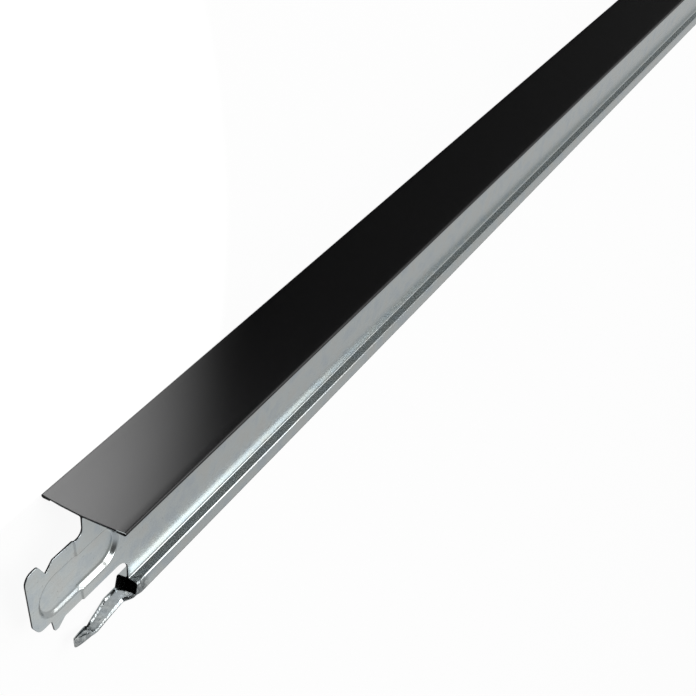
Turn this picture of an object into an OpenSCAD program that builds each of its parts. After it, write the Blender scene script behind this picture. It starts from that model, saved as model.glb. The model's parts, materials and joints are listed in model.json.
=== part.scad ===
// Ceiling grid cross tee: a roll-formed steel tee with a capped face and a stamped connector at each end.
// It is drawn as it hangs in a ceiling: X along the tee, Z up from the visible face to the bulb.
// Then it is laid on its side, on one edge of the face and one corner of the bulb.

/* [Grid] */
// Module: distance between the centre lines of the two runners that carry the tee
module_l = 600; // [300:50:1500]
// Width of the face of each runner, which the tee's face butts against
runner_w = 24; // [15:1:35]
// Play between the tee's face and the runner's face at each end
butt_gap = 0.2; // [0.1:0.1:1]
// How far the middle of the face's cut end stands past its corners
end_bow = 0.8; // [0.2:0.1:1.5]

/* [Section] */
// Width of the visible face
face_w = 24; // [20:1:35]
// Overall height from the face to the top of the bulb
tee_h = 38; // [36:0.5:50]
// Thickness of the galvanised strip
strip_t = 0.25; // [0.2:0.05:0.4]
// Thickness of the painted cap strip
cap_t = 0.25; // [0.2:0.05:0.5]
// Width of the cap's hem over each flange edge
hem_w = 2.6; // [1.5:0.1:5]
// Room left inside the hem over the flange, so that the paint is not cracked by a tight fold
hem_gap = 0.4; // [0:0.05:0.6]
// Inside radius of the bend from each flange to the web
root_r = 0.5; // [0.3:0.1:1.2]
// Width of the bulb
bulb_w = 6.4; // [5.6:0.1:8]
// Height of the bulb
bulb_h = 5; // [4.4:0.1:6.5]
// Slant of the bulb's shoulder
shoulder_tilt = 6; // [0:0.5:12]
// Outside radius of the bulb's corners
bulb_r = 0.9; // [0.5:0.05:1.2]
// Inside radius of the bend from the web to the bulb
neck_r = 0.6; // [0.2:0.05:0.9]

/* [Hook] */
// Height of the hook arm's lower edge above the face
arm_low = 5.7; // [4.5:0.1:7]
// Depth of the hook arm
arm_h = 20.1; // [18:0.1:22]
// Radius of the corner between the web's end and the arm
arm_r = 2; // [0.5:0.1:2.5]
// Play between the hook's notch and the runner's web
hook_play = 0.25; // [0.1:0.05:0.6]
// Depth of the lower notch behind the hook's head
notch_h = 2.2; // [1.2:0.1:3]
// Run of the lead-in slope before that notch
notch_run = 2.6; // [1.5:0.1:4]
// Radius of the notches' corners
notch_r = 0.35; // [0.1:0.05:0.5]
// Length of the hook's head past its notch
head_l = 6.9; // [6:0.1:9]
// How far the head hangs below the arm's lower edge
head_drop = 1.9; // [1.5:0.1:3]
// Run of the lead-in slope on the head's lower edge
head_run = 2.4; // [1.6:0.1:3]
// Radius of the head's lower corner
head_r = 2.6; // [1:0.1:2.8]
// How far the head stays below the arm's upper edge
head_step = 2.1; // [1:0.1:3]
// Set-back of the head's end edge over its height
head_slope = 1.3; // [0:0.1:2]
// Height of the cut corner at the top of the head
head_cut = 3.4; // [2:0.1:4.5]
// Length of the cut corner at the top of the head
head_cut_l = 2; // [1.2:0.1:2.6]
// Radius of the cut corner's two ends
head_cut_r = 2.6; // [0.6:0.1:3]
// Distance of the locking tooth's steep side behind the notch
tooth_back = 0.7; // [0.3:0.1:1.2]
// Length of the locking tooth on the arm's upper edge
tooth_l = 4.6; // [3.8:0.1:6]
// Height of the locking tooth
tooth_h = 1.8; // [0.8:0.1:2.4]
// Set-back of the tooth's tip from its steep side
tooth_rake = 0.8; // [0.3:0.1:1.2]
// Length of the tooth's tip
tooth_tip = 1.4; // [1.2:0.1:1.8]
// Radius of the tooth's corners
tooth_r = 0.7; // [0.3:0.05:0.8]
// Sideways offset of the hook, so that two hooks pass in one slot
joggle = 0.4; // [0.3:0.05:0.65]
// Length of the bend that makes the offset
joggle_run = 0.4; // [0.3:0.1:2]
// Distance of that bend past the end of the face
joggle_x = 1.8; // [1:0.1:4]
// Slant of that bend from upright
joggle_tilt = 5.6; // [0:0.1:8]

/* [Pressed rib] */
// Length of the rib pressed in the hook arm
rib_l = 28.8; // [20:0.1:34]
// Width of the rib at its mouth
rib_w = 12.1; // [8:0.1:13]
// Depth of the rib
rib_depth = 1.2; // [0.8:0.05:1.8]
// Run of the rib's sloping wall
rib_run = 1.2; // [0.6:0.1:1.6]
// Height of the rib's centre line above the face
rib_z = 16.4; // [14.5:0.1:17]
// How far the rib runs into the hook's head
rib_over = 3.2; // [1:0.1:3.6]

/* [Tongue] */
// Distance that the bulb is cut back from the end of the face
bulb_back = 15.8; // [12:0.1:20]
// Radius of the cut's inner corner
gap_r = 4; // [1:0.1:5]
// Length of the slanting cut on the bulb's side walls
side_cut = 1.2; // [0.4:0.1:2]
// Height of the tongue's side walls
lip_h = 1; // [1:0.1:2.8]
// Length of the tongue from the cut to its crimped tip
tongue_l = 15.6; // [12:0.1:18]
// Width of the tongue at its tip
tongue_w = 3.3; // [2.8:0.1:4]
// Length of the bend that sets one side wall in
set_run = 2.4; // [1.6:0.1:3.2]
// How far that side wall is set in
set_in = 2.7; // [1:0.1:3.2]
// Length over which the other side wall stays straight past that bend
plain_l = 2.2; // [0.5:0.1:4]
// Gap in the other side wall before the tip
lip_gap = 1.9; // [0.6:0.1:3]
// Length of the crimped tip
tip_l = 6.1; // [4:0.1:9]
// Sideways offset of the tip from the middle of the bulb
tip_side = 0.3; // [0:0.05:0.5]
// How much further to that side the tip's point lies
tip_out = 0.5; // [0:0.1:1]
// Thickness of the tip at its end
tip_t = 0.9; // [0.75:0.05:1.6]
// Height of the tip at its end
tip_h = 3.4; // [2:0.1:4]

/* [Hidden] */
$fn = 48;
fine_fn = 96;
bow_fn = 360;
arc_steps = 6;

// Section
web_t = 2 * strip_t;
hem_in_r = (strip_t + hem_gap) / 2;
hem_r = hem_in_r + cap_t;
flange_w = face_w - 2 * hem_r;
flange_top = cap_t + strip_t;
shoulder_z = tee_h - bulb_h;
bulb_in_r = bulb_r - strip_t;
shoulder_turn = 90 - shoulder_tilt;
shoulder_dir = [cos(shoulder_tilt), sin(shoulder_tilt)];
shoulder_in = [-sin(shoulder_tilt), cos(shoulder_tilt)];
neck_z = shoulder_z - neck_r * tan(shoulder_turn / 2);
shoulder_a = [strip_t, shoulder_z] + shoulder_dir * neck_r * tan(shoulder_turn / 2);
shoulder_c = [bulb_w / 2, shoulder_z + (bulb_w / 2 - strip_t) * tan(shoulder_tilt)];
shoulder_b = shoulder_c - shoulder_dir * bulb_r * tan(shoulder_turn / 2);
side_z = shoulder_c.y + bulb_r * tan(shoulder_turn / 2);

// Ends, measured from the middle of the tee
face_end = module_l / 2 - runner_w / 2 - butt_gap;
bow_r = (pow(face_w / 2, 2) + pow(end_bow, 2)) / (2 * end_bow);
notch_x = module_l / 2 + strip_t + hook_play;
head_end = notch_x + head_l;
gap_x = face_end - bulb_back;
bend_x = face_end + joggle_x;
arm_top = arm_low + arm_h;
head_top = arm_top - head_step;
tooth_x = notch_x - tooth_back;
arm_lap = 3;
over = 1;

// Rib
rib_front = notch_x + rib_over;
rib_wall = web_t * norm([rib_run, rib_depth]) / rib_depth;
rib_slope = rib_run / rib_depth;
rib_sink = 0.05;

// Lying pose: the face's edge bend and the bulb's corner bend both touch the floor
lean_w = face_w / 2 - hem_r - bulb_w / 2 + bulb_r;
lean_h = tee_h - bulb_r - hem_r;
lean = atan2(lean_w, lean_h) + asin((hem_r - bulb_r) / norm([lean_w, lean_h]));
floor_z = (face_w / 2 - hem_r) * cos(lean) + hem_r * sin(lean) + hem_r;
face_y = -(face_w / 2 - hem_r) * sin(lean) + hem_r * cos(lean) - hem_r;
bulb_y = (bulb_w / 2 - bulb_r) * sin(lean) + (tee_h - bulb_r) * cos(lean) + bulb_r;

function unit(v) = v / norm(v);
function turn(a) = a > 180 ? a - 360 : a < -180 ? a + 360 : a;
function flat(p) = [p.x, p.y];

// Arc of radius r in the corner at b, between the edges to a and c
function corner(a, b, c, r) =
    r == 0 ? [b] :
    let (
        u = unit(a - b),
        v = unit(c - b),
        half = acos(u * v) / 2,
        mid = b + unit(u + v) * r / sin(half),
        p = b + u * r / tan(half) - mid,
        q = b + v * r / tan(half) - mid,
        start = atan2(p.y, p.x),
        sweep = turn(atan2(q.y, q.x) - start)
    )
    [for (i = [0 : arc_steps]) let (a = start + sweep * i / arc_steps) mid + r * [cos(a), sin(a)]];

// Outline whose points are [x, y, corner radius]
function rounded(pts) =
    let (n = len(pts))
    [
        for (i = [0 : n - 1])
            each corner(flat(pts[(i + n - 1) % n]), flat(pts[i]), flat(pts[(i + 1) % n]), pts[i].z)
    ];

// Left-hand side of the line from p to q
function left_of(p, q) = let (d = unit(q - p)) [-d.y, d.x];

// Direction from point i of a path to the same corner of a parallel path one unit to the left
function mitre(path, i) =
    let (
        a = left_of(path[max(i - 1, 0)], path[max(i, 1)]),
        b = left_of(path[min(i, len(path) - 2)], path[min(i + 1, len(path) - 1)])
    )
    (a + b) / (1 + a * b);

// Placing

module lay_down()
    translate([0, -(face_y + bulb_y) / 2, floor_z]) rotate([-90 - lean, 0, 0]) children();

module both_ends() {
    children();
    rotate(180) children();
}

module along(l)
    rotate([90, 0, 90]) linear_extrude(l, center = true) children();

module sideways(t)
    rotate([90, 0, 0]) linear_extrude(t, center = true) children();

// Section of the strip and of the cap

// Bend of the strip round an inside radius, from one angle through another
module bend(r, t, from, sweep)
    intersection() {
        difference() {
            circle(r + t);
            circle(r);
        }
        polygon([[0, 0], for (a = [from, from + sweep / 2, from + sweep]) 2 * (r + t) * [cos(a), sin(a)]]);
    }

module half_section() {
    translate([strip_t + root_r, cap_t]) square([flange_w / 2 - strip_t - root_r, strip_t]);
    translate([strip_t + root_r, flange_top + root_r]) bend(root_r, strip_t, 180, 90);
    translate([strip_t + neck_r, neck_z]) bend(neck_r, strip_t, 90 + shoulder_tilt, shoulder_turn);
    polygon([shoulder_a, shoulder_b, shoulder_b + strip_t * shoulder_in, shoulder_a + strip_t * shoulder_in]);
    translate([bulb_w / 2 - bulb_r, side_z]) bend(bulb_in_r, strip_t, -shoulder_turn, shoulder_turn);
    translate([bulb_w / 2 - strip_t, side_z]) square([strip_t, tee_h - bulb_r - side_z]);
    translate([bulb_w / 2 - bulb_r, tee_h - bulb_r]) bend(bulb_in_r, strip_t, 0, 90);
}

module strip_section() {
    half_section();
    mirror([1, 0]) half_section();
    translate([-strip_t, flange_top + root_r]) square([web_t, neck_z - flange_top - root_r]);
    translate([bulb_r - bulb_w / 2, tee_h - strip_t]) square([bulb_w - 2 * bulb_r, strip_t]);
}

module half_hem() {
    translate([flange_w / 2, hem_r]) {
        bend(hem_in_r, cap_t, 0, 90);
        bend(hem_in_r, cap_t, -90, 90);
    }
    translate([face_w / 2 - hem_w, flange_top + hem_gap]) square([hem_w - hem_r, cap_t]);
}

module cap_section() {
    half_hem();
    mirror([1, 0]) half_hem();
    translate([-flange_w / 2, 0]) square([flange_w, cap_t]);
}

// Slightly bowed cut at the end of the face
module beyond_face()
    difference() {
        translate([face_end - 2 * end_bow, -face_w, -over]) cube([4 * end_bow, 2 * face_w, tee_h + 2 * over]);
        translate([face_end - bow_r, 0, -2 * over]) cylinder(r = bow_r, h = tee_h + 4 * over, $fn = bow_fn);
    }

// Cut that parts the hook arm from the bulb's tongue
module gap_cut()
    sideways(2 * face_w) polygon(rounded([
        [gap_x, arm_top, gap_r],
        [head_end, arm_top, 0],
        [head_end, tee_h + over, 0],
        [gap_x + side_cut, tee_h + over, 0],
        [gap_x + side_cut, tee_h - lip_h, 0],
        [gap_x, shoulder_z, 0]
    ]));

// Hook: side outline of the web's tab, with its lower notch, head and locking tooth
hook_outline = [
    [face_end - arm_lap, flange_top + root_r, 0],
    [face_end, flange_top + root_r, 0],
    [face_end, arm_low, arm_r],
    [notch_x - notch_run, arm_low, notch_r],
    [notch_x, arm_low + notch_h, notch_r],
    [notch_x + head_run, arm_low - head_drop, head_r / 2],
    [head_end, arm_low - head_drop, head_r],
    [head_end - head_slope, head_top - head_cut, head_cut_r],
    [head_end - head_slope - head_cut_l, head_top, head_cut_r],
    [tooth_x, head_top, notch_r],
    [tooth_x - tooth_rake, arm_top + tooth_h, tooth_r],
    [tooth_x - tooth_rake - tooth_tip, arm_top + tooth_h, tooth_r],
    [tooth_x - tooth_l, arm_top, tooth_r],
    [face_end - arm_lap, arm_top, 0]
];

// Plan of the tab: straight on from the web, then set over to one side
module joggled_slab()
    translate([bend_x, 0, rib_z]) rotate([0, -joggle_tilt, 0]) linear_extrude(2 * tee_h, center = true)
        polygon([
            [-tee_h, -strip_t],
            [0, -strip_t],
            [joggle_run, joggle - strip_t],
            [tee_h, joggle - strip_t],
            [tee_h, joggle + strip_t],
            [joggle_run, joggle + strip_t],
            [0, strip_t],
            [-tee_h, strip_t]
        ]);

module hook()
    intersection() {
        sideways(face_w) polygon(rounded(hook_outline));
        joggled_slab();
    }

// Sloping-sided bar with round ends, from y0 to y1 across the web
module rib_form(y0, r0, y1, r1) {
    rear = rib_front - rib_l + rib_w / 2;
    front = rib_front - rib_w / 2;
    for (x = [rear, front])
        translate([x, y0, rib_z]) rotate([-90, 0, 0]) cylinder(r1 = r0, r2 = r1, h = y1 - y0, $fn = fine_fn);
    translate([(rear + front) / 2, 0, rib_z]) along(front - rear)
        polygon([[y0, -r0], [y1, -r1], [y1, r1], [y0, r0]]);
}

function rib_r(y) = rib_w / 2 - (y + strip_t) * rib_slope;

module rib_boss()
    rib_form(strip_t - rib_sink, rib_r(strip_t - rib_sink) + rib_wall,
             rib_depth + strip_t, rib_r(rib_depth + strip_t) + rib_wall);

module rib_recess()
    rib_form(-strip_t - over, rib_r(-strip_t - over), rib_depth - strip_t, rib_r(rib_depth - strip_t));

// Tongue: what is left of the bulb's top past the cut, folded to a narrow channel
tongue_set = side_cut + set_run;
set_side = [
    [side_cut, -bulb_w / 2],
    [tongue_set, set_in - bulb_w / 2],
    [tongue_l, -tongue_w / 2 - tip_side]
];
plain_side = [
    [tongue_l - lip_gap, tongue_w / 2 - tip_side],
    [tongue_set + plain_l, bulb_w / 2],
    [side_cut, bulb_w / 2]
];

// Side wall along a path, with its thickness to the left of the path
module lip(path)
    translate([gap_x, 0, tee_h - lip_h]) linear_extrude(lip_h)
        polygon(concat(path, [for (i = [len(path) - 1 : -1 : 0]) path[i] + strip_t * mitre(path, i)]));

module tip_end(x, t, h, side)
    translate([gap_x + x, -t / 2 - side, tee_h - h]) cube([strip_t, t, h]);

// Room that the bulb's own outside leaves the tongue, with its round upper corners
module bulb_room()
    translate([gap_x, 0, 0]) rotate([90, 0, 90]) linear_extrude(2 * (tongue_l + tip_l)) {
        translate([-bulb_w / 2, shoulder_z]) square([bulb_w, bulb_h - bulb_r]);
        translate([bulb_r - bulb_w / 2, shoulder_z]) square([bulb_w - 2 * bulb_r, bulb_h]);
        for (side = [-1, 1])
            translate([side * (bulb_w / 2 - bulb_r), tee_h - bulb_r]) circle(bulb_r);
    }

// Rounded edge of the bulb, which the straight stretch of the tongue keeps
module plain_edge()
    translate([gap_x + side_cut, bulb_w / 2 - bulb_r, tee_h - bulb_r])
        rotate([90, 0, 90]) linear_extrude(set_run + plain_l) difference() {
            intersection() {
                circle(bulb_r);
                square(bulb_r);
            }
            circle(bulb_r - strip_t);
        }

module tongue_channel() {
    lip(set_side);
    lip(plain_side);
    plain_edge();
    translate([gap_x, 0, tee_h - strip_t]) linear_extrude(strip_t)
        polygon(concat(set_side, [[tongue_l, tongue_w / 2 - tip_side]], plain_side));
}

module tongue() {
    intersection() {
        tongue_channel();
        bulb_room();
    }
    hull() {
        tip_end(tongue_l, tongue_w, lip_h, tip_side);
        tip_end(tongue_l + tip_l - strip_t, tip_t, tip_h, tip_side + tip_out);
    }
}

// Pieces

// Rolled section, cut at both ends and pressed for the ribs
module rolled_strip()
    difference() {
        along(2 * face_end) strip_section();
        both_ends() {
            beyond_face();
            gap_cut();
            rib_recess();
        }
    }

module web_tab()
    difference() {
        union() {
            hook();
            rib_boss();
        }
        rib_recess();
    }

module tee_body()
    color("#aab4b8") lay_down() union() {
        union() {
            rolled_strip();
            both_ends() tongue();
        }
        both_ends() web_tab();
    }

module face_cap()
    color("#1c1c1e") lay_down() difference() {
        along(2 * face_end) cap_section();
        both_ends() beyond_face();
    }

tee_body();
face_cap();
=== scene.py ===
import json
import math

import bmesh
import bpy
import numpy as np
from mathutils import Matrix, Vector
from mathutils.geometry import delaunay_2d_cdt


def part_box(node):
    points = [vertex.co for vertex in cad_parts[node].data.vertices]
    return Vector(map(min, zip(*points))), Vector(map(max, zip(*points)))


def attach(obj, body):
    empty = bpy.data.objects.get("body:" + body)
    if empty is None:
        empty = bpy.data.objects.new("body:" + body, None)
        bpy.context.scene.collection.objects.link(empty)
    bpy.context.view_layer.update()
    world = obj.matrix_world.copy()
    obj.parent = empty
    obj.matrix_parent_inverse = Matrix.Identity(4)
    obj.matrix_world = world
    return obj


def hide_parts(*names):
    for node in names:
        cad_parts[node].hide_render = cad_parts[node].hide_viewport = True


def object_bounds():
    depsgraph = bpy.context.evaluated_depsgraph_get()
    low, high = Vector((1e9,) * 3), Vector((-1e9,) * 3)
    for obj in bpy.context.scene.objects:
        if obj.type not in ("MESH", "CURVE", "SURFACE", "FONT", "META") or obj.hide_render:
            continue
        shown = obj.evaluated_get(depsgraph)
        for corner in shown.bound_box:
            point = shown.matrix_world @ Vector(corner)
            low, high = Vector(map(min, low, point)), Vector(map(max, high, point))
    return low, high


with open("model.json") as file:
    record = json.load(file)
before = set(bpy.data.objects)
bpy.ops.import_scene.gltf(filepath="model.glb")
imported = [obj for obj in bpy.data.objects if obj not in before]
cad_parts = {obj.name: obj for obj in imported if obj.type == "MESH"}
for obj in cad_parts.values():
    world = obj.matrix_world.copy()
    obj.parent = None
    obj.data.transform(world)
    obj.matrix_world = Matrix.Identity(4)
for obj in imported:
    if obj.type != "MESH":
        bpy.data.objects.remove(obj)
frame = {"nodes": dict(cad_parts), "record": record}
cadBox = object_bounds()
mm = 0.001
print("frame loaded:", sorted(frame["nodes"]))

# directions of the tee as it lies: out of the face, along to the near end, and across the face
mounts = {mount["name"]: mount for mount in frame["record"]["mounts"]}
outward = Vector(mounts["visible_face"]["axis"]).normalized()
along = Vector((1, 0, 0))
across = outward.cross(along)
faceMiddle = Vector(mounts["visible_face"]["pos_m"])
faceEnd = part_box("face_cap")[1].x / mm


def fromFace(x, w, z):
    # point in mm along the tee, across its face and up from the face to the bulb
    return faceMiddle + (along * x + across * w - outward * z) * mm


def linear(hexColour):
    parts = [int(hexColour[i:i + 2], 16) / 255 for i in (1, 3, 5)]
    return [c / 12.92 if c < 0.04045 else ((c + 0.055) / 1.055) ** 2.4 for c in parts] + [1]


def addNode(tree, kind, settings=None, inputs=None):
    node = tree.nodes.new("ShaderNode" + kind)
    for name, value in (settings or {}).items():
        setattr(node, name, value)
    for name, value in (inputs or {}).items():
        if isinstance(value, bpy.types.NodeSocket):
            tree.links.new(value, node.inputs[name])
        else:
            node.inputs[name].default_value = value
    return node


# camera, placed from the near end of the face, in mm along, across and up from the face
cameraView = {
    "eye": (172.9, 149.2, -209.4), "target": (-46.0, 40.4, -35.5), "up": (-0.480, -0.331, -0.812),
    "lens": 69.5, "clip": 10,
}


def makeCamera(view):
    def place(x, w, z):
        return fromFace(faceEnd + x, w, z)
    eye = place(*view["eye"])
    back = (eye - place(*view["target"])).normalized()
    right = (place(*view["up"]) - place(0, 0, 0)).cross(back).normalized()
    data = bpy.data.cameras.new("camera")
    data.lens = view["lens"]
    data.clip_start = view["clip"] * mm
    camera = bpy.data.objects.new("camera", data)
    turn = Matrix((right, back.cross(right), back)).transposed().to_4x4()
    camera.matrix_world = Matrix.Translation(eye) @ turn
    bpy.context.scene.collection.objects.link(camera)
    bpy.context.scene.camera = camera


makeCamera(cameraView)
print("camera placed")

# section of the strip and the cap in mm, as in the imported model, apart from the hem's pressed free edge
section = {
    "strip": 0.25, "face": 24, "height": 38, "bow": 0.8, "root": 0.5,
    "cap": 0.25, "hem": 2.6, "hemOpen": 0.4, "hemFall": 0.33, "cleanCut": 2.6,
    "bulb": 6.4, "shoulder": 33, "shoulderFall": 0.3, "bulbBend": 0.9, "neck": 0.6,
}
crown = section["height"] - section["strip"] / 2  # middle line of the strip at the bulb's top
arcSteps = 6  # faces round each bend


def bowEnd(w):
    # the cut end of the face is slightly round
    radius = ((section["face"] / 2) ** 2 + section["bow"] ** 2) / (2 * section["bow"])
    return faceEnd - radius + math.sqrt(radius ** 2 - w ** 2)


def bentPath(corners, closed=False):
    # points and left-hand normals along a path of (x, y, bend radius) corners,
    # with the number of each corner's first point in starts
    points, normals, starts = [], [], []
    count = len(corners)
    for i, (x, y, radius) in enumerate(corners):
        here = np.array((x, y))
        before = np.array(corners[i - 1][:2]) if closed or i else 2 * here - np.array(corners[1][:2])
        after = np.array(corners[(i + 1) % count][:2]) if closed or i < count - 1 else 2 * here - before
        u = (here - before) / np.linalg.norm(here - before)
        v = (after - here) / np.linalg.norm(after - here)
        turn = math.atan2(u[0] * v[1] - u[1] * v[0], u @ v)
        starts.append(len(points))
        if radius == 0 or abs(turn) < 0.001:
            left = np.array((-u[1] - v[1], u[0] + v[0]))
            points.append(here)
            normals.append(2 * left / (left @ left))  # longer at a sharp corner, which keeps the gauge
            continue
        side = math.copysign(1, turn)
        start = here - u * radius * math.tan(abs(turn) / 2)
        centre = start + side * radius * np.array((-u[1], u[0]))
        for step in range(arcSteps + 1):
            angle = turn * step / arcSteps
            left = math.cos(angle) * np.array((-u[1], u[0])) - math.sin(angle) * u
            points.append(centre - side * radius * left)
            normals.append(left)
    return np.array(points), np.array(normals), starts


# which material of its piece a face gets, and which ends of the tee get a form
# the dark cut-edge skin is dull sheared steel darkened further with painted shade; it also paints shade into
# the tongue's torn notch
ownSkin, dullCutAndShade, brightCut = 0, 1, 2
bothEnds = (1, -1)


class Sheet:
    # gathers the faces of one pressed piece, in mm from the face
    weld = 0.004
    speck = 0.001
    sharpFrom = 32  # degrees

    def __init__(self):
        self.verts, self.faces, self.skins = [], [], []

    def grid(self, rows, skin=ownSkin, ends=(1,)):
        # rows of points (x, w, z) joined by quads, once or turned half round to both ends
        wide = len(rows[0])
        for end in ends:
            first = len(self.verts)
            self.verts += [(end * x, end * w, z) for row in rows for x, w, z in row]
            for i in range(len(rows) - 1):
                for j in range(wide - 1):
                    a = first + i * wide + j
                    self.faces.append((a, a + 1, a + wide + 1, a + wide))
                    self.skins.append(skin)

    def triangles(self, points, faces, ends=(1,)):
        for end in ends:
            first = len(self.verts)
            self.verts += [(end * x, end * w, z) for x, w, z in points]
            self.faces += [tuple(first + i for i in face) for face in faces]
            self.skins += [ownSkin] * len(faces)

    def finish(self, name, node, materials):
        mesh = bpy.data.meshes.new(name)
        mesh.from_pydata([fromFace(*v) for v in self.verts], [], self.faces)
        mesh.polygons.foreach_set("material_index", self.skins)
        build = bmesh.new()
        build.from_mesh(mesh)
        bmesh.ops.remove_doubles(build, verts=build.verts, dist=self.weld * mm)
        bmesh.ops.dissolve_degenerate(build, edges=build.edges, dist=self.speck * mm)
        bmesh.ops.recalc_face_normals(build, faces=build.faces)
        loose = sum(not edge.is_manifold for edge in build.edges)
        build.to_mesh(mesh)
        build.free()
        mesh.shade_smooth()
        mesh.set_sharp_from_angle(angle=math.radians(self.sharpFrom))
        for material in materials:
            mesh.materials.append(material)
        piece = bpy.data.objects.new(name, mesh)
        bpy.context.scene.collection.objects.link(piece)
        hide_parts(node)
        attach(piece, "root")
        print(name, "has", len(mesh.polygons), "faces and", loose, "open edges")
        return piece


def makeCap(materials):
    # painted strip, wrapped round both edges of the flange
    half, thick = section["face"] / 2, section["cap"]
    hemZ = thick * 1.5 + section["strip"] + section["hemOpen"]
    bendR = (hemZ - thick / 2) / 2
    edge = half - thick / 2
    right = [(half - section["hem"], hemZ - section["hemFall"], 0), (edge, hemZ, bendR)]
    right += [(edge, thick / 2, bendR), (half - section["cleanCut"], thick / 2, 0)]
    left = [(-w, z, r) for w, z, r in reversed(right)]
    path, normal, starts = bentPath(right + [(0, thick / 2, 0)] + left)
    inner, outer = path + normal * thick / 2, path - normal * thick / 2
    stations = np.linspace(-1, 1, 25)

    def row(points, s):
        return [(s * bowEnd(w), w, z) for w, z in points]
    sheet = Sheet()
    for points in (inner, outer):
        sheet.grid([row(points, s) for s in stations])
    for i in (0, -1):
        sheet.grid([row((inner[i], outer[i]), s) for s in stations], dullCutAndShade)
    # the cut ends are dull steel, darkened further with painted shade, but bright where the shear left one
    # corner of the face clean
    marks = (0, starts[2] + 2, starts[3], len(path) - 1)
    for first, last, skin in zip(marks, marks[1:], (dullCutAndShade, brightCut, dullCutAndShade)):
        span = slice(first, last + 1)
        sheet.grid([row(inner[span], 1), row(outer[span], 1)], skin, bothEnds)
    return sheet.finish("faceCap", "face_cap", materials)


# end connector in mm: x from the end of the face, z up from the face
connector = {
    "seam": -20, "notch": 12.7, "notchUp": 7.9, "notchBend": 0.35, "leadIn": 2.6,
    "armLow": 5.7, "armTop": 25.8, "armBend": 2, "gap": -15.8, "gapBend": 4,
    "headLow": 3.8, "headRun": 2.4, "headEnd": 19.6, "headBend": 2.6, "headSlope": 1.3,
    "headCut": 20.3, "headTop": 23.7, "headCutLength": 2, "headCutBend": 2.6,
    "toothBack": 0.7, "toothLength": 4.6, "toothTop": 27.6, "toothRake": 0.8, "toothTip": 1.4,
    "toothBend": 0.7, "edgeBend": 0.04,
    "joggle": 0.4, "joggleAt": 1.8, "joggleRun": 0.4, "joggleTilt": 5.6,
    "ribFront": 15.9, "ribLength": 28.8, "ribWidth": 12.1, "ribDepth": 1.2, "ribRun": 1.2, "ribZ": 16.4,
}
seamX = faceEnd + connector["seam"]
gapX = faceEnd + connector["gap"]

# tongue left from the bulb's top in mm: x from the end of the face, and for each x the places across
# of its two walls and the heights of their free edges, of the right wall's foot and of the floor
tongue = {
    "x": (-14.6, -13.9, -12.9, -12.2, -10, -7.3, -5, -2.3, -1.7, -1.0, -0.2, 1.5, 3.5, 5.5, 5.9),
    "rim": (3.2, 2.2, 1.1, 0.62, 0.84, 1.1, 1.33, 1.62, 1.72, 1.8, 1.82, 1.72, 1.6, 1.29, 1.22),
    "right": (3.2, 2.7, 1.7, 1.2, 1.29, 1.47, 1.64, 1.87, 1.93, 1.97, 1.95, 1.79, 1.6, 1.29, 1.22),
    "left": (-3.2,) * 5 + (-2.57, -2.03, -1.5, -1.42, -1.38, -1.35, -0.96, -0.4, 0.22, 0.35),
    "rightUp": (36.46, 36.6, 36.8) + (37,) * 5 + (36.95, 36.9, 36.8, 36.2, 35.4, 34.7, 34.65),
    "leftUp": (37,) * 8 + (37.4, 37.6, 36.9, 36.3, 35.5, 34.75, 34.65),
    "low": (37.18, 37.4, 37.7) + (crown,) * 12,
    "floor": (36.62, 37.1, 37.7) + (crown,) * 4 + (37.8, 37.7, 37.6, 37.2, 36.2, 35.6, 35.1, 35.05),
    "leftLean": ((-14.6, -13.9, -3, -1.5, 3, 5.9), (0, 0.5, 0.5, 0, 0, 0.25)),  # at x, how far it leans in
    "bend": ((-14.6, -13, -1, 1), (1, 0.3, 0.3, 0.7)),  # at x, share of the bulb's own bend
    "torn": (-2.4, 0.2), "stations": 70,
}
lipX = faceEnd + tongue["x"][0]
lipZ = tongue["leftUp"][0]

# corner of the bulb that was squeezed as the tongue was cut free, in mm: how long and deep the dent is,
# the height it starts from, and its share of the depth at places across the bulb
crush = {
    "length": 2.8, "depth": 1.4, "from": 34, "across": ((-3.2, 0, 2.5, 3.1), (0, 0.85, 1.15, 0.55)),
}


def pressedRamp(value, soft=0.22):
    # 0 to 1 along a straight slope with a rounded bend at each end
    value = np.clip(value, 0, 1)
    slope = 1 / (1 - soft)
    low = slope * value ** 2 / (2 * soft)
    high = 1 - slope * (1 - value) ** 2 / (2 * soft)
    return np.where(value < soft, low, np.where(value > 1 - soft, high, slope * (value - soft / 2)))


def crushed(x, w, z):
    near = pressedRamp((x - lipX + crush["length"]) / crush["length"], 0.5)
    high = np.clip((z - crush["from"]) / (crown - crush["from"]), 0, 1)
    return x, w, z - crush["depth"] * near * high * np.interp(w, *crush["across"])


def ribEnds():
    # radius of the rib's mouth and the middles of its two round ends
    radius = connector["ribWidth"] / 2
    front = faceEnd + connector["ribFront"] - radius
    return radius, front - connector["ribLength"] + 2 * radius, front


def ribDistance(x, z):
    # distance from the mouth of the rib, negative inside it
    radius, rear, front = ribEnds()
    return np.hypot(x - np.clip(x, rear, front), z - connector["ribZ"]) - radius


def joggleX(z):
    # where the joggle starts, on a line that tilts across the web
    tilt = math.tan(math.radians(connector["joggleTilt"]))
    return faceEnd + connector["joggleAt"] - (z - connector["ribZ"]) * tilt


def setBack(x, z):
    # how far the web's end is pressed back from its plane, by the joggle and by the rib
    offset = connector["joggle"] * pressedRamp((x - joggleX(z)) / connector["joggleRun"])
    pressed = pressedRamp(-ribDistance(x, z) / connector["ribRun"])
    return offset + (connector["ribDepth"] - offset) * pressed


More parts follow.
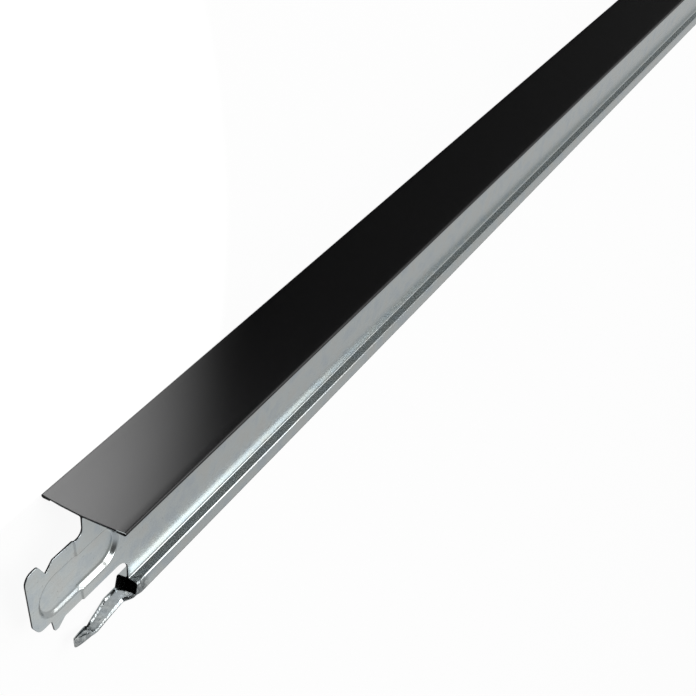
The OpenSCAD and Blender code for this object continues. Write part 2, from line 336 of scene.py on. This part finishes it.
def stripSection():
    # middle line of the strip and both its sides: flange, web, round the bulb and back
    t = section["strip"]
    flange = section["face"] / 2 - (t + section["hemOpen"]) / 2 - section["cap"]
    low = section["cap"] + t / 2
    side = section["bulb"] / 2 - t / 2
    bendR = section["bulbBend"] - t / 2
    webLow, webTop = section["cap"] + t + section["root"], section["shoulder"] - section["neck"]
    webZ = np.linspace(webLow, webTop, 9)[1:-1]
    right = [(flange, low, 0), (section["face"] / 4, low, 0), (t / 2, low, section["root"] + t / 2)]
    right += [(t / 2, z, 0) for z in webZ]
    right += [
        (t / 2, section["shoulder"] + t / 2, section["neck"] + t / 2),
        (side, section["shoulder"] + section["shoulderFall"] + t / 2, bendR),
        (side, lipZ, 0), (side, lipZ + 0.05, 0),  # two rows, as the tongue's wall has below its bend
        (side, crown, bendR), (2 * t, crown, 0),
    ]
    left = [(-w, z, r) for w, z, r in reversed(right)]
    path, normal, starts = bentPath(right + [(0, crown, 0)] + left)
    neck = 3 + len(webZ)
    return {
        "path": path, "outer": path - normal * t / 2, "inner": path + normal * t / 2, "count": len(path),
        "rootEnd": starts[3] - 1, "neckStart": starts[neck], "lip": starts[neck + 2],
    }


def makeRolledLength(sheet, strip):
    # the plain section between the two seams; the web's two layers have no gap, so no inner side
    xs = np.linspace(-seamX, seamX, 17)

    def rows(points):
        return [[(x, w, z) for w, z in points] for x in xs]
    outer, inner = strip["outer"], strip["inner"]
    count, rootEnd, neckStart = strip["count"], strip["rootEnd"], strip["neckStart"]
    sheet.grid(rows(outer))
    for first, last in ((0, rootEnd + 1), (neckStart, count - neckStart), (count - 1 - rootEnd, count)):
        sheet.grid(rows(inner[first:last]))
    for i in (0, -1):
        sheet.grid(rows((outer[i], inner[i])), dullCutAndShade)


endSteps = np.linspace(0, 1, 9)


def toEnd(points, ends):
    # rows of points from the seam out to each point's own end
    return [[crushed(seamX + (x - seamX) * s, w, z) for (w, z), x in zip(points, ends)] for s in endSteps]


def addStretch(sheet, strip, span, ends):
    # both sides of a stretch of the section beyond the seam, and its cut end
    out, back = toEnd(strip["outer"][span], ends), toEnd(strip["inner"][span], ends)
    sheet.grid(out, ends=bothEnds)
    sheet.grid(back, ends=bothEnds)
    sheet.grid([out[-1], back[-1]], dullCutAndShade, bothEnds)
    return out, back


def makeFlangeEnds(sheet, strip):
    # flanges with the bend to the web, out to the round cut end
    count, rootEnd = strip["count"], strip["rootEnd"]
    for span, edge in ((slice(0, rootEnd + 1), 0), (slice(count - 1 - rootEnd, count), -1)):
        ends = [bowEnd(w) if abs(w) > 1 else faceEnd for w in strip["path"][span, 0]]
        out, back = addStretch(sheet, strip, span, ends)
        sheet.grid([[a[edge], b[edge]] for a, b in zip(out, back)], dullCutAndShade, bothEnds)


def makeBulbEnds(sheet, strip):
    # lower part of the bulb, out to its slanting cut
    count, neckStart, lip = strip["count"], strip["neckStart"], strip["lip"]
    shoulder = section["shoulder"]
    for span in (slice(neckStart, lip + 1), slice(count - 1 - lip, count - neckStart)):
        shares = np.clip((strip["path"][span, 1] - shoulder) / (lipZ - shoulder), 0, 1)
        addStretch(sheet, strip, span, gapX + (lipX - gapX) * shares)


def tongueRows(x):
    # outer and inner side of the tongue's section, at a distance from the end of the face
    t = section["strip"]
    names = ("rim", "right", "left", "rightUp", "leftUp", "low", "floor")
    rim, right, left, rightUp, leftUp, low, floor = (np.interp(x, tongue["x"], tongue[n]) for n in names)
    middle, flat = (right + left) / 2, (right - left) / 12
    rise = math.atan2(crown - floor, (right - left) / 2 - flat)
    bendR = (section["bulbBend"] - t / 2) / math.tan(math.pi / 4 + rise / 2)
    bend = bendR * np.interp(x, *tongue["bend"])
    lean = np.interp(x, *tongue["leftLean"])
    curl = rightUp + np.clip(right - rim, 0.05, 0.6 * (low - rightUp))  # right rim bends in at 45 degrees
    corners = [
        (rim - t / 2, rightUp, 0), (right - t / 2, curl, 0),
        (right - t / 2, low, bend * min(1, low - rightUp)),
        (middle + flat, floor, 0), (middle, floor, 0), (middle - flat, floor, 0),
        (left + lean + t / 2, crown, bend),
        (left + t / 2, leftUp + 0.45 * (crown - leftUp), 0), (left + t / 2, leftUp, 0),
    ]
    points, normals, _ = bentPath(corners)
    return [[(faceEnd + x, w, z) for w, z in points + side * normals * t / 2] for side in (-1, 1)]


def makeTongues(sheet, strip):
    # top of the bulb, which runs on as the tongue and is pinched at its tip
    count, lip = strip["count"], strip["lip"]
    span = slice(lip, count - lip)
    ends = [lipX] * (count - 2 * lip)
    out, back = toEnd(strip["outer"][span], ends), toEnd(strip["inner"][span], ends)
    free = len(out) - 1
    for x in np.linspace(tongue["x"][0], tongue["x"][-1], tongue["stations"])[1:]:
        outRow, backRow = tongueRows(x)
        out.append(outRow)
        back.append(backRow)
    sheet.grid(out, ends=bothEnds)
    sheet.grid([out[-1], back[-1]], ends=bothEnds)
    sheet.grid([[a[0], b[0]] for a, b in zip(out[free:], back[free:])], ends=bothEnds)
    # the left wall is torn where the tip bends, and its inner side and edge there get the dark cut-edge skin
    # as painted shade of the notch
    tornFrom, tornTo = tongue["torn"]
    torn = [i for i, row in enumerate(out) if tornFrom < row[-1][0] - faceEnd < tornTo]
    wall = len(out[0]) - arcSteps - 1  # the wall's first point in a row, just past the start of its bend
    sheet.grid([row[:wall] for row in back], ends=bothEnds)
    marks = (0, torn[0], torn[-1], len(out) - 1)
    for first, last, skin in zip(marks, marks[1:], (ownSkin, dullCutAndShade, ownSkin)):
        sheet.grid([row[wall - 1:] for row in back[first:last + 1]], skin, bothEnds)
        edges = list(zip(out, back))[max(first, free):last + 1]
        sheet.grid([[a[-1], b[-1]] for a, b in edges], skin, bothEnds)


def hookOutline(zRoot, zNeck):
    # side outline of the web's end as (x, z, bend radius), starting and ending at the seam
    c = connector
    tooth = c["notch"] - c["toothBack"]
    cut = c["headEnd"] - c["headSlope"]
    points = [
        (c["seam"], zRoot, 0), (0, zRoot, 0), (0, c["armLow"], c["armBend"]),
        (c["notch"] - c["leadIn"], c["armLow"], c["notchBend"]),
        (c["notch"], c["notchUp"], c["notchBend"]),
        (c["notch"] + c["headRun"], c["headLow"], c["headBend"] / 2),
        (c["headEnd"], c["headLow"], c["headBend"]),
        (cut, c["headCut"], c["headCutBend"]),
        (cut - c["headCutLength"], c["headTop"], c["headCutBend"]),
        (tooth, c["headTop"], c["notchBend"]),
        (tooth - c["toothRake"], c["toothTop"], c["toothBend"]),
        (tooth - c["toothRake"] - c["toothTip"], c["toothTop"], c["toothBend"]),
        (tooth - c["toothLength"], c["armTop"], c["toothBend"]),
        (c["gap"], c["armTop"], c["gapBend"]), (c["gap"], zNeck, 0), (c["seam"], zNeck, 0),
    ]
    return [(faceEnd + x, z, r) for x, z, r in points]


# spacing of the points on the web's end in mm: on its edge, round the rib, down the joggle and between,
# and the room that the points between leave round the others
webMesh = {"edge": 0.2, "rib": 0.7, "joggle": 0.6, "fill": 2, "room": 0.8, "joggleRoom": 2.5}


def hookEdge(zRoot, zNeck):
    # free edge of the web's end in short steps, and the line just inside it where the edge turns over
    outline, inward, starts = bentPath(hookOutline(zRoot, zNeck), closed=True)
    free = slice(starts[1] + 1, starts[-2])
    lengths = np.hypot(*np.diff(outline[free], axis=0).T)
    steps = [np.linspace(i, i + 1, int(max(2, d / webMesh["edge"] + 1))) for i, d in enumerate(lengths)]
    fine = np.unique(np.concatenate(steps))
    order = np.arange(len(lengths) + 1)

    def atSteps(values):
        return np.c_[np.interp(fine, order, values[:, 0]), np.interp(fine, order, values[:, 1])]
    edge = atSteps(outline[free])
    return edge, edge + atSteps(inward[free]) * connector["edgeBend"]


def ribPoints():
    # rings down the slope of the rib, and one on either side of it
    points = []
    radius, rear, front = ribEnds()
    middle = connector["ribZ"]
    for depth in (-0.35, *np.linspace(0, connector["ribRun"], 9), 1.4, 2.4):
        r = radius - depth
        for x in np.arange(rear, front, webMesh["rib"]):
            points += [(x, middle + r), (x, middle - r)]
        for angle in np.linspace(-math.pi / 2, math.pi / 2, 25):
            reach, rise = r * math.cos(angle), r * math.sin(angle)
            points += [(front + reach, middle + rise), (rear - reach, middle + rise)]
    return points


def jogglePoints():
    points = []
    for z in np.arange(connector["armLow"] + 0.5, connector["armTop"], webMesh["joggle"]):
        for run in np.linspace(-0.15, 1.15, 9):
            x = joggleX(z) + run * connector["joggleRun"]
            if ribDistance(x, z) > 0.5:
                points.append((x, z))
    return points


def fillPoints(border):
    points = []
    room, step = webMesh["room"], webMesh["fill"]
    lowX, lowZ = border.min(axis=0) + 1.5
    highX, highZ = border.max(axis=0)
    for x in np.arange(lowX, highX, step):
        for z in np.arange(lowZ, highZ, step):
            nearJoggle = abs(x - joggleX(z)) < webMesh["joggleRoom"]
            nearBorder = np.hypot(*(border - (x, z)).T).min() <= room
            if ribDistance(x, z) > room and not nearBorder and not nearJoggle:
                points.append((x, z))
    return points


def makeWebEnds(sheet, strip):
    # web end with its hook, pressed rib and joggle
    t = section["strip"]
    seamZ = [z for _, z in strip["outer"][strip["rootEnd"]:strip["neckStart"] + 1]]
    zRoot, zNeck = seamZ[0], seamZ[-1]
    flangeX = [seamX + (faceEnd - seamX) * s for s in endSteps]
    neckX = [seamX + (gapX - seamX) * s for s in endSteps]
    edge, inset = hookEdge(zRoot, zNeck)
    ring = [(x, zRoot) for x in flangeX] + [tuple(p) for p in inset] + [(x, zNeck) for x in reversed(neckX)]
    ring += [(seamX, z) for z in reversed(seamZ[1:-1])]
    inside = ribPoints() + jogglePoints() + fillPoints(np.array(ring))
    border = [(i, (i + 1) % len(ring)) for i in range(len(ring))]
    flat, _, faces, _, _, _ = delaunay_2d_cdt([Vector(p) for p in ring + inside], border, [], 1, 1e-5)
    flat = np.array([tuple(p) for p in flat])
    pressed = setBack(*flat.T)
    for side in (t, -t):
        sheet.triangles(np.c_[flat[:, 0], side - pressed, flat[:, 1]], faces, bothEnds)

    # cut edge, with its two corners turned over a little
    corners = [(flangeX[-1], zRoot), (neckX[-1], zNeck)]
    inset, edge = (np.array([corners[0], *points, corners[1]]) for points in (inset, edge))
    soft = np.hypot(*(edge - inset).T)

    def rim(points, side):
        return np.c_[points[:, 0], side - setBack(*points.T), points[:, 1]]
    for side in (1, -1):
        sheet.grid([rim(inset, side * t), rim(edge, side * (t - soft))], ends=bothEnds)
    sheet.grid([rim(edge, t - soft), rim(edge, 0), rim(edge, soft - t)], dullCutAndShade, bothEnds)


def makeBody(materials):
    strip = stripSection()
    sheet = Sheet()
    for make in (makeRolledLength, makeFlangeEnds, makeBulbEnds, makeTongues, makeWebEnds):
        make(sheet, strip)
    return sheet.finish("teeBody", "tee_body", materials)


def newMaterial(name):
    material = bpy.data.materials.new(name)
    material.use_nodes = True
    tree = material.node_tree
    return material, tree, tree.nodes["Principled BSDF"], addNode(tree, "TexCoord").outputs["Object"]


# surface of the zinc in mm: clouds of spangle, rolling lines and grain, which are drawn coarser than real
# so that they show, specks, and the bruises left by the crimping tool
zincLook = {
    "colour": "#bfc5c5", "blue": "#b7bfc3", "warm": "#c0c3c1", "roughness": (0.15, 0.27),
    "cloud": 5, "lineLength": 30, "lineWidth": 0.5, "grain": 0.35, "speck": 1.6,
    "crimp": 0.9, "crimpColour": "#8c9294", "crimpFrom": -16.5, "crimpTo": 0.3, "crimpY": (13, 13.5),
    "bruiseAt": (-15.6, 3.1, 35.6), "bruiseSize": 4.6, "bruiseDepth": 2,
}


# hot-dip galvanised strip, skin-passed and roll-formed: a cool satin grey with faint cloudy spangle,
# fine lines along the rolling direction and a few dark specks
def galvanised(look):
    material, tree, shader, place = newMaterial("galvanisedSteelRolled")
    shader.inputs["Metallic"].default_value = 1
    cloudScale, grainScale, speckScale, crimpScale, alongScale, acrossScale = (
        1 / (look[name] * mm) for name in ("cloud", "grain", "speck", "crimp", "lineLength", "lineWidth"))

    # colour: clouds from blue to warm grey, with specks
    cloud = addNode(tree, "TexNoise", inputs={"Vector": place, "Scale": cloudScale, "Detail": 3})
    tint = addNode(tree, "ValToRGB", inputs={"Fac": cloud.outputs["Fac"]})
    stops = tint.color_ramp.elements
    stops.new(0.68)
    for stop, at, name in zip(stops, (0.34, 0.5, 0.68), ("blue", "colour", "warm")):
        stop.position = at
        stop.color = linear(look[name])
    speck = addNode(tree, "TexVoronoi", inputs={"Vector": place, "Scale": speckScale})
    dot = addNode(tree, "MapRange", inputs={
        "Value": speck.outputs["Distance"], "From Min": 0.06, "From Max": 0.12, "To Min": 0.7, "To Max": 1})
    dotted = addNode(tree, "MixRGB", {"blend_type": "MULTIPLY"}, {
        "Fac": 1, "Color1": tint.outputs["Color"], "Color2": dot.outputs[0]})

    # bruised by the crimping tool, more and more along both tongues, and on the near bulb's squeezed corner
    spot = addNode(tree, "SeparateXYZ", inputs={0: place}).outputs
    out = addNode(tree, "Math", {"operation": "ABSOLUTE"}, {0: spot["X"]})
    past = addNode(tree, "MapRange", inputs={
        "Value": out.outputs[0], "From Min": (faceEnd + look["crimpFrom"]) * mm,
        "From Max": (faceEnd + look["crimpTo"]) * mm})
    top = addNode(tree, "MapRange", inputs={
        "Value": spot["Y"], "From Min": look["crimpY"][0] * mm, "From Max": look["crimpY"][1] * mm})
    onTongue = addNode(tree, "Math", {"operation": "MULTIPLY"}, {0: past.outputs[0], 1: top.outputs[0]})
    x, w, z = look["bruiseAt"]
    away = addNode(tree, "VectorMath", {"operation": "DISTANCE"}, {
        0: place, 1: fromFace(faceEnd + x, w, z)})
    corner = addNode(tree, "MapRange", inputs={
        "Value": away.outputs["Value"], "From Min": look["bruiseSize"] * mm / 2,
        "From Max": look["bruiseSize"] * mm, "To Min": look["bruiseDepth"], "To Max": 0})
    struck = addNode(tree, "Math", {"operation": "MAXIMUM"}, {0: onTongue.outputs[0], 1: corner.outputs[0]})
    bruise = addNode(tree, "TexNoise", inputs={"Vector": place, "Scale": crimpScale, "Detail": 3})
    depth = addNode(tree, "MapRange", inputs={
        "Value": bruise.outputs["Fac"], "From Min": 0.35, "From Max": 0.62})
    crimped = addNode(tree, "Math", {"operation": "MULTIPLY"}, {0: struck.outputs[0], 1: depth.outputs[0]})
    colour = addNode(tree, "MixRGB", inputs={
        "Fac": crimped.outputs[0], "Color1": dotted.outputs[0], "Color2": linear(look["crimpColour"])})
    tree.links.new(colour.outputs[0], shader.inputs["Base Color"])

    # rolling lines and grain, in the sheen and as a slight relief under the bruises
    stretch = addNode(tree, "Mapping", inputs={
        "Vector": place, "Scale": (alongScale, acrossScale, acrossScale)})
    lines = addNode(tree, "TexNoise", inputs={"Vector": stretch.outputs[0], "Scale": 1, "Detail": 2})
    grain = addNode(tree, "TexNoise", inputs={"Vector": place, "Scale": grainScale, "Detail": 2})
    both = addNode(tree, "Math", {"operation": "ADD"}, {0: lines.outputs["Fac"], 1: grain.outputs["Fac"]})
    smooth, rough = look["roughness"]
    sheen = addNode(tree, "MapRange", inputs={
        "Value": both.outputs[0], "From Min": 0.6, "From Max": 1.4, "To Min": smooth, "To Max": rough})
    tree.links.new(sheen.outputs[0], shader.inputs["Roughness"])
    relief = addNode(tree, "Bump", inputs={
        "Height": both.outputs[0], "Strength": 0.03, "Distance": 0.05 * mm})
    dent = addNode(tree, "Bump", inputs={
        "Height": crimped.outputs[0], "Strength": 0.5, "Distance": 0.12 * mm, "Normal": relief.outputs[0]})
    tree.links.new(dent.outputs[0], shader.inputs["Normal"])
    return material


# near-black tones of the cut edge: dull steel, with painted shade on top
shearAndShadeLook = {"torn": "#060606", "clean": "#242526", "tear": 0.6, "roughness": 0.45}  # tear in mm


# edge of the strip as the shear left it: bare steel, torn over half its thickness, so dull and darker, and
# darkened further to near black as painted shade
def shearedEdgeAndShade(look):
    material, tree, shader, place = newMaterial("shearedSteelEdgeAndPaintedShade")
    shader.inputs["Metallic"].default_value = 1
    shader.inputs["Roughness"].default_value = look["roughness"]
    tear = addNode(tree, "TexNoise", inputs={"Vector": place, "Scale": 1 / (look["tear"] * mm), "Detail": 2})
    tone = addNode(tree, "ValToRGB", inputs={"Fac": tear.outputs["Fac"]})
    for stop, at, name in zip(tone.color_ramp.elements, (0.45, 0.75), ("torn", "clean")):
        stop.position = at
        stop.color = linear(look[name])
    tree.links.new(tone.outputs["Color"], shader.inputs["Base Color"])
    return material


# paint surface in mm: a faint orange peel and fine dust
paintLook = {
    "colour": "#070708", "dust": "#2c2c2e", "peel": 0.8, "dustSpacing": 1.1, "roughness": (0.28, 0.34),
}


# coil-coated steel, satin black: a thin smooth paint with a soft sheen at low angles
def blackPaint(look):
    material, tree, shader, place = newMaterial("coilCoatedBlack")
    dust = addNode(tree, "TexVoronoi", inputs={"Vector": place, "Scale": 1 / (look["dustSpacing"] * mm)})
    dot = addNode(tree, "MapRange", inputs={
        "Value": dust.outputs["Distance"], "From Min": 0.05, "From Max": 0.11, "To Min": 0.5, "To Max": 0})
    colour = addNode(tree, "MixRGB", inputs={
        "Fac": dot.outputs[0], "Color1": linear(look["colour"]), "Color2": linear(look["dust"])})
    tree.links.new(colour.outputs[0], shader.inputs["Base Color"])
    peel = addNode(tree, "TexNoise", inputs={"Vector": place, "Scale": 1 / (look["peel"] * mm), "Detail": 2})
    smooth, rough = look["roughness"]
    sheen = addNode(tree, "MapRange", inputs={
        "Value": peel.outputs["Fac"], "From Min": 0.3, "From Max": 0.7, "To Min": smooth, "To Max": rough})
    tree.links.new(sheen.outputs[0], shader.inputs["Roughness"])
    relief = addNode(tree, "Bump", inputs={
        "Height": peel.outputs["Fac"], "Strength": 0.05, "Distance": 0.02 * mm})
    tree.links.new(relief.outputs[0], shader.inputs["Normal"])
    return material


zinc, cutEdge, paint = galvanised(zincLook), shearedEdgeAndShade(shearAndShadeLook), blackPaint(paintLook)
makeCap([paint, cutEdge, zinc])
makeBody([zinc, cutEdge])
print("pieces made")


# board under the tee in metres: white to the eye, and in reflections a painted pool of light, white by the
# near end of the face, from where it falls off to a painted shade
board = {
    "size": 8, "below": 0.00002, "colour": "#e9e9e9", "seen": 0.92,
    "lightAt": (0.32, -0.05, 0), "lightTo": 0.05, "darkFrom": 0.13, "light": 1, "dark": 0.03,
}


def makeFloor(look):
    bpy.ops.mesh.primitive_plane_add(size=look["size"], location=(0, 0, cadBox[0][2] - look["below"]))
    floor = bpy.context.object
    floor.name = "floor"
    material = bpy.data.materials.new("paleBoard")
    material.use_nodes = True
    tree = material.node_tree
    tree.nodes.clear()
    path = addNode(tree, "LightPath").outputs
    place = addNode(tree, "TexCoord").outputs["Object"]
    away = addNode(tree, "VectorMath", {"operation": "DISTANCE"}, {0: place, 1: look["lightAt"]})
    # glow seen in reflections: painted light by the near end of the face, painted shade further off
    level = addNode(tree, "MapRange", {"interpolation_type": "SMOOTHSTEP"}, {
        "Value": away.outputs["Value"], "From Min": look["lightTo"], "From Max": look["darkFrom"],
        "To Min": look["light"], "To Max": look["dark"]})
    seen = addNode(tree, "Math", {"operation": "MULTIPLY"}, {0: path["Is Camera Ray"], 1: look["seen"]})
    mirrored = addNode(tree, "Math", {"operation": "MAXIMUM"}, {
        0: path["Is Glossy Ray"], 1: path["Is Transmission Ray"]})
    share = addNode(tree, "Math", {"operation": "MAXIMUM"}, {0: mirrored.outputs[0], 1: seen.outputs[0]})
    glowLevel = addNode(tree, "Mix", inputs={0: path["Is Camera Ray"], 2: level.outputs[0], 3: 1})
    matt = addNode(tree, "BsdfDiffuse", inputs={"Color": linear(look["colour"])})
    glow = addNode(tree, "Emission", inputs={"Color": (1, 1, 1, 1), "Strength": glowLevel.outputs[0]})
    mix = addNode(tree, "MixShader", inputs={0: share.outputs[0], 1: matt.outputs[0], 2: glow.outputs[0]})
    addNode(tree, "OutputMaterial", inputs={"Surface": mix.outputs[0]})
    floor.data.materials.append(material)


makeFloor(board)


def direction(azimuth, height):
    turn, lift = math.radians(azimuth), math.radians(height)
    return Vector((math.cos(turn) * math.cos(lift), math.sin(turn) * math.cos(lift), math.sin(lift)))


# lamps by direction from the near end of the face, in degrees and metres
lamps = {
    "key": {"azimuth": 210, "height": 47, "distance": 1.3, "size": (0.5, 0.5), "watts": 2.8},
    "back": {"azimuth": 117, "height": 17, "distance": 1.5, "size": (0.4, 0.35), "watts": 0.13},
    "top": {"azimuth": 280, "height": 78, "distance": 1.5, "size": (1.0, 1.0), "watts": 12},
}


def makeLamps(lamps):
    aim = fromFace(faceEnd, 0, 0)
    for name, lamp in lamps.items():
        data = bpy.data.lights.new(name, "AREA")
        data.shape = "RECTANGLE"
        data.size, data.size_y = lamp["size"]
        data.energy = lamp["watts"]
        light = bpy.data.objects.new(name, data)
        out = direction(lamp["azimuth"], lamp["height"])
        light.location = aim + out * lamp["distance"]
        light.rotation_euler = out.to_track_quat("Z", "Y").to_euler()
        bpy.context.scene.collection.objects.link(light)


# light sheet on the board in front of the near end, in metres: brightest in its middle and soft towards
# its rim, which gives the black face its sheen there
lightSheet = {
    "at": (0.355, -0.1, 0.0003), "size": (0.34, 0.159), "full": 0.08, "rim": 0.165, "strength": 5,
}


def makeLightSheet(look):
    bpy.ops.mesh.primitive_plane_add(size=1, location=look["at"])
    sheet = bpy.context.object
    sheet.name = "lightSheet"
    sheet.scale = (*look["size"], 1)
    material = bpy.data.materials.new("softLightSheet")
    material.use_nodes = True
    tree = material.node_tree
    tree.nodes.clear()
    place = addNode(tree, "NewGeometry").outputs["Position"]
    away = addNode(tree, "VectorMath", {"operation": "DISTANCE"}, {0: place, 1: look["at"]})
    level = addNode(tree, "MapRange", {"interpolation_type": "SMOOTHSTEP"}, {
        "Value": away.outputs["Value"], "From Min": look["full"], "From Max": look["rim"],
        "To Min": 1, "To Max": 0})
    clear = addNode(tree, "BsdfTransparent")
    glow = addNode(tree, "Emission", inputs={"Color": (1, 1, 1, 1), "Strength": look["strength"]})
    mix = addNode(tree, "MixShader", inputs={0: level.outputs[0], 1: clear.outputs[0], 2: glow.outputs[0]})
    addNode(tree, "OutputMaterial", inputs={"Surface": mix.outputs[0]})
    sheet.data.materials.append(material)


# soft room light all round, dim only on the side where the eye is, and white where the eye meets it
roomLight = {"azimuth": 330, "height": 32, "dim": 0.02, "bright": 0.58, "from": 0.4}


def makeWorld(look):
    world = bpy.data.worlds.new("studio")
    world.use_nodes = True
    tree = world.node_tree
    background = tree.nodes["Background"]
    place = addNode(tree, "TexCoord").outputs["Generated"]
    side = addNode(tree, "VectorMath", {"operation": "DOT_PRODUCT"}, {
        0: place, 1: direction(look["azimuth"], look["height"])})
    level = addNode(tree, "MapRange", {"interpolation_type": "SMOOTHSTEP"}, {
        "Value": side.outputs["Value"], "From Min": look["from"], "From Max": 1,
        "To Min": look["bright"], "To Max": look["dim"]})
    eye = addNode(tree, "LightPath").outputs["Is Camera Ray"]
    seen = addNode(tree, "Math", {"operation": "MAXIMUM"}, {0: level.outputs[0], 1: eye})
    tree.links.new(seen.outputs[0], background.inputs["Strength"])
    background.inputs["Color"].default_value = (1, 1, 1, 1)
    bpy.context.scene.world = world


makeLamps(lamps)
makeLightSheet(lightSheet)
makeWorld(roomLight)
bpy.context.scene.view_settings.view_transform = "Standard"
print("lights set")
